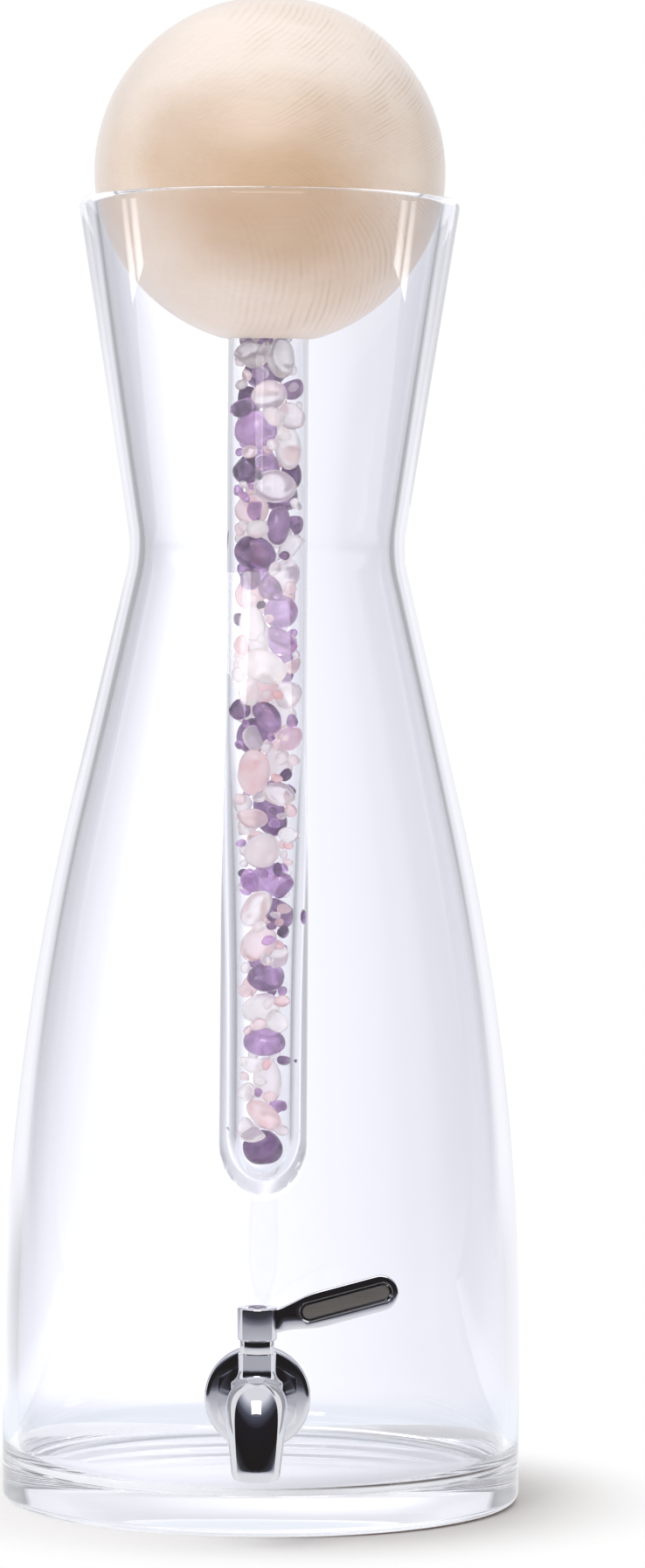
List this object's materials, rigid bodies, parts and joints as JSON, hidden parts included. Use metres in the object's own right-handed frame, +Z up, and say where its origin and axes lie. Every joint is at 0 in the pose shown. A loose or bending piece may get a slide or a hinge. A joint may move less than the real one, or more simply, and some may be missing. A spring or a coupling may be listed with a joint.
{
  "type": "water dispenser",
  "caption": "Waisted glass water carafe with a quarter-turn steel tap at its foot and a wooden ball lid that holds a glass vial of tumbled quartz stones in the water.",
  "frame": {"origin": "centre of the carafe's flat underside, on the carafe's axis", "axes": "+Z up along the carafe, -Y towards the tap at the front, +X along the closed lever"},
  "size_m": [0.1774, 0.2188, 0.5142],
  "materials": {
    "carafe_glass": "clear thick blown glass, fire-polished",
    "vial_glass": "clear borosilicate glass, polished",
    "pale_wood": "fine-sanded pale maple, thin matt oil",
    "polished_steel": "mirror-polished stainless steel",
    "satin_grey": "satin grey inlay",
    "clear_silicone": "translucent silicone",
    "valve_white": "white fluoropolymer",
    "amethyst": "tumbled and polished",
    "rose_quartz": "tumbled and polished",
    "clear_quartz": "tumbled and polished"
  },
  "bodies": {
    "carafe": {"carafe_glass": "carafe_glass", "escutcheon": "polished_steel", "front_gasket": "clear_silicone", "gland_ring": "polished_steel", "inlet_seat": "valve_white", "lock_nut": "polished_steel", "outlet_seat": "valve_white", "rear_gasket": "clear_silicone", "rear_washer": "polished_steel", "tap_body": "polished_steel", "tap_shank": "polished_steel"},
    "lever": {"valve_ball": "polished_steel", "valve_stem": "polished_steel", "lower_stem_seal": "clear_silicone", "upper_stem_seal": "clear_silicone", "lever_handle": "polished_steel", "lever_inlay": "satin_grey", "handle_screw": "polished_steel", "stop_pin": "polished_steel"},
    "lid": {"lid_ball": "pale_wood", "vial": "vial_glass", "vial_stopper": "clear_silicone", "lower_grip_ring": "clear_silicone", "upper_grip_ring": "clear_silicone", "stone_01_amethyst": "amethyst", "stone_02_rose_quartz": "rose_quartz", "stone_03_clear_quartz": "clear_quartz", "stone_04_amethyst": "amethyst", "stone_05_clear_quartz": "clear_quartz", "stone_06_amethyst": "amethyst", "stone_07_rose_quartz": "rose_quartz", "stone_08_clear_quartz": "clear_quartz", "stone_09_amethyst": "amethyst", "stone_10_clear_quartz": "clear_quartz", "stone_11_amethyst": "amethyst", "stone_12_rose_quartz": "rose_quartz", "stone_13_clear_quartz": "clear_quartz", "stone_14_amethyst": "amethyst", "stone_15_clear_quartz": "clear_quartz", "stone_16_amethyst": "amethyst", "stone_17_rose_quartz": "rose_quartz", "stone_18_clear_quartz": "clear_quartz", "stone_19_amethyst": "amethyst", "stone_20_clear_quartz": "clear_quartz", "stone_21_amethyst": "amethyst", "stone_22_rose_quartz": "rose_quartz", "stone_23_clear_quartz": "clear_quartz", "stone_24_amethyst": "amethyst", "stone_25_clear_quartz": "clear_quartz", "stone_26_amethyst": "amethyst", "stone_27_rose_quartz": "rose_quartz", "stone_28_clear_quartz": "clear_quartz", "stone_29_amethyst": "amethyst", "stone_30_clear_quartz": "clear_quartz", "stone_31_amethyst": "amethyst", "stone_32_rose_quartz": "rose_quartz", "stone_33_clear_quartz": "clear_quartz", "stone_34_amethyst": "amethyst", "stone_35_clear_quartz": "clear_quartz", "stone_36_amethyst": "amethyst"}
  },
  "joints": [
    {"name": "lid_lift", "type": "slide", "parent": "carafe", "child": "lid", "axis": [0, 0, 1], "range_m": [0, 0.36]},
    {"name": "tap_lever", "type": "hinge", "parent": "carafe", "child": "lever", "pos_m": [0, -0.1096, 0.047], "axis": [0, 0, 1], "range_deg": [-90, 0]}
  ]
}
